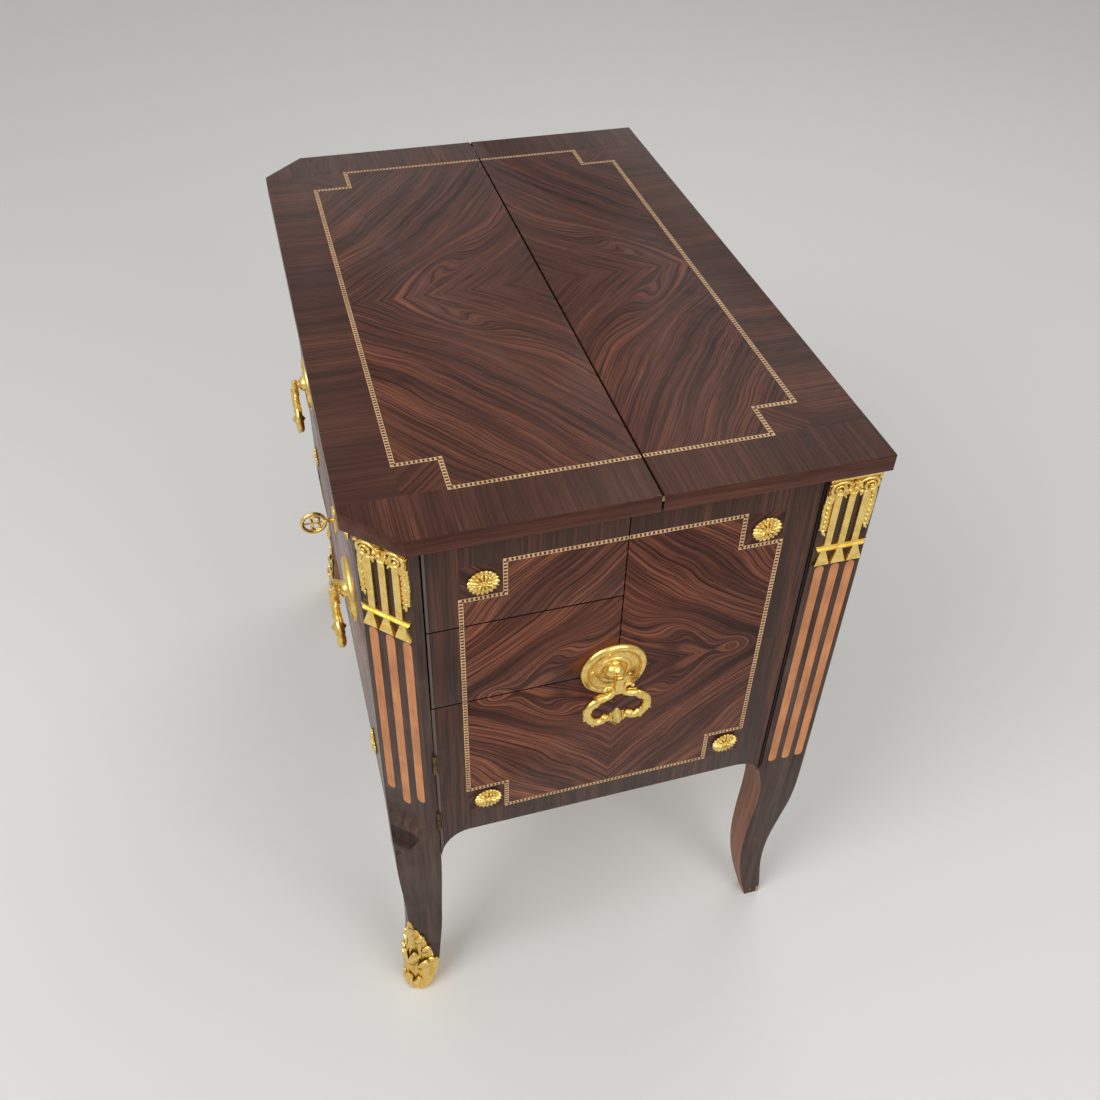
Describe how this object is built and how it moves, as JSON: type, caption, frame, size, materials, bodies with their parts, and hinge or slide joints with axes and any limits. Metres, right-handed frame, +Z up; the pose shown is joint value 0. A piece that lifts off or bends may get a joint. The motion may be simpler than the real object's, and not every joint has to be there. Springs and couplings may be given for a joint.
{
  "type": "convertible desk",
  "caption": "Veneered convertible writing desk with folding top leaf, leather bed, doors that carry the front legs, end drawers and gilt mounts",
  "frame": {"origin": "on the floor below the middle of the top", "axes": "+X along the width to the right end, +Y from front to back, +Z up"},
  "size_m": [0.806, 0.5511, 0.8],
  "materials": {
    "veneer": "French-polished striped veneer",
    "post_wood": "polished brown hardwood",
    "oak": "plain waxed carcass wood",
    "gilt": "gilt bronze",
    "brass": "aged brass",
    "steel": "dull steel",
    "leather": "waxed hide"
  },
  "bodies": {
    "case": {"back_panel": "oak", "bed_leather": "leather", "bottom_board": "oak", "inner_front": "oak", "left_lower_hinge_case_flap": "brass", "left_rear_chute": "gilt", "left_rear_leaf_hinge_plate": "brass", "left_rear_post": "post_wood", "left_side_panel": "veneer", "left_upper_hinge_case_flap": "brass", "lower_deck": "oak", "partition": "oak", "rear_leaf": "veneer", "right_lower_hinge_case_flap": "brass", "right_rear_chute": "gilt", "right_rear_leaf_hinge_plate": "brass", "right_rear_post": "post_wood", "right_side_panel": "veneer", "right_upper_hinge_case_flap": "brass", "upper_deck": "oak", "writing_bed": "veneer"},
    "leaf_links": {"right_leaf_hinge_link": "brass", "left_leaf_hinge_link": "brass"},
    "folding_leaf": {"front_leaf": "veneer", "right_front_leaf_hinge_plate": "brass", "left_front_leaf_hinge_plate": "brass"},
    "right_door": {"right_door_panel": "veneer", "right_front_post": "post_wood", "right_front_sabot": "gilt", "right_front_chute": "gilt", "right_door_pull_plate": "gilt", "right_upper_hinge_door_flap": "brass", "right_lower_hinge_door_flap": "brass", "lock_case": "steel", "key_escutcheon": "gilt"},
    "right_upper_drawer": {"right_upper_drawer_front": "veneer", "right_upper_drawer_box": "oak"},
    "right_lower_drawer": {"right_lower_drawer_front": "veneer", "right_lower_drawer_box": "oak", "right_handle_plate": "gilt"},
    "right_handle_swing": {"right_handle_bail": "gilt"},
    "right_pull_swing": {"right_door_pull_bail": "gilt"},
    "left_door": {"left_door_panel": "veneer", "left_front_post": "post_wood", "left_front_sabot": "gilt", "left_front_chute": "gilt", "left_door_pull_plate": "gilt", "left_upper_hinge_door_flap": "brass", "left_lower_hinge_door_flap": "brass", "lock_keeper": "steel"},
    "left_upper_drawer": {"left_upper_drawer_front": "veneer", "left_upper_drawer_box": "oak"},
    "left_lower_drawer": {"left_lower_drawer_front": "veneer", "left_lower_drawer_box": "oak", "left_handle_plate": "gilt"},
    "left_handle_swing": {"left_handle_bail": "gilt"},
    "left_pull_swing": {"left_door_pull_bail": "gilt"},
    "key_turn": {"key": "gilt"},
    "bolt": {"lock_bolt": "steel"}
  },
  "joints": [
    {"name": "link_fold", "type": "hinge", "parent": "case", "child": "leaf_links", "pos_m": [0, 0.0292, 0.796], "axis": [-1, 0, 0], "range_deg": [0, 90]},
    {"name": "leaf_fold", "type": "hinge", "parent": "leaf_links", "child": "folding_leaf", "pos_m": [0, 0.0208, 0.796], "axis": [-1, 0, 0], "range_deg": [0, 90]},
    {"name": "right_door_swing", "type": "hinge", "parent": "case", "child": "right_door", "pos_m": [0.3785, -0.197, 0.45], "axis": [0, 0, 1], "range_deg": [0, 85]},
    {"name": "right_upper_drawer_slide", "type": "slide", "parent": "case", "child": "right_upper_drawer", "axis": [1, 0, 0], "range_m": [0, 0.24]},
    {"name": "right_lower_drawer_slide", "type": "slide", "parent": "case", "child": "right_lower_drawer", "axis": [1, 0, 0], "range_m": [0, 0.24]},
    {"name": "right_handle_lift", "type": "hinge", "parent": "right_lower_drawer", "child": "right_handle_swing", "pos_m": [0.3978, -0.0045, 0.5475], "axis": [0, -1, 0], "range_deg": [0, 85]},
    {"name": "right_pull_lift", "type": "hinge", "parent": "right_door", "child": "right_pull_swing", "pos_m": [0.2, -0.2688, 0.552], "axis": [-1, 0, 0], "range_deg": [0, 85]},
    {"name": "left_door_swing", "type": "hinge", "parent": "case", "child": "left_door", "pos_m": [-0.3785, -0.197, 0.45], "axis": [0, 0, -1], "range_deg": [0, 85]},
    {"name": "left_upper_drawer_slide", "type": "slide", "parent": "case", "child": "left_upper_drawer", "axis": [-1, 0, 0], "range_m": [0, 0.24]},
    {"name": "left_lower_drawer_slide", "type": "slide", "parent": "case", "child": "left_lower_drawer", "axis": [-1, 0, 0], "range_m": [0, 0.24]},
    {"name": "left_handle_lift", "type": "hinge", "parent": "left_lower_drawer", "child": "left_handle_swing", "pos_m": [-0.3978, -0.0045, 0.5475], "axis": [0, 1, 0], "range_deg": [0, 85]},
    {"name": "left_pull_lift", "type": "hinge", "parent": "left_door", "child": "left_pull_swing", "pos_m": [-0.2, -0.2688, 0.552], "axis": [-1, 0, 0], "range_deg": [0, 85]},
    {"name": "key_turn", "type": "hinge", "parent": "right_door", "child": "key_turn", "pos_m": [0.03, -0.249, 0.517], "axis": [0, -1, 0], "range_deg": [0, 90]},
    {"name": "bolt_throw", "type": "slide", "parent": "right_door", "child": "bolt", "axis": [-1, 0, 0], "range_m": [0, 0.014]}
  ],
  "couplings": [
    {"joint": "key_turn", "follows": "bolt_throw", "rad_per_m": 112.2}
  ]
}
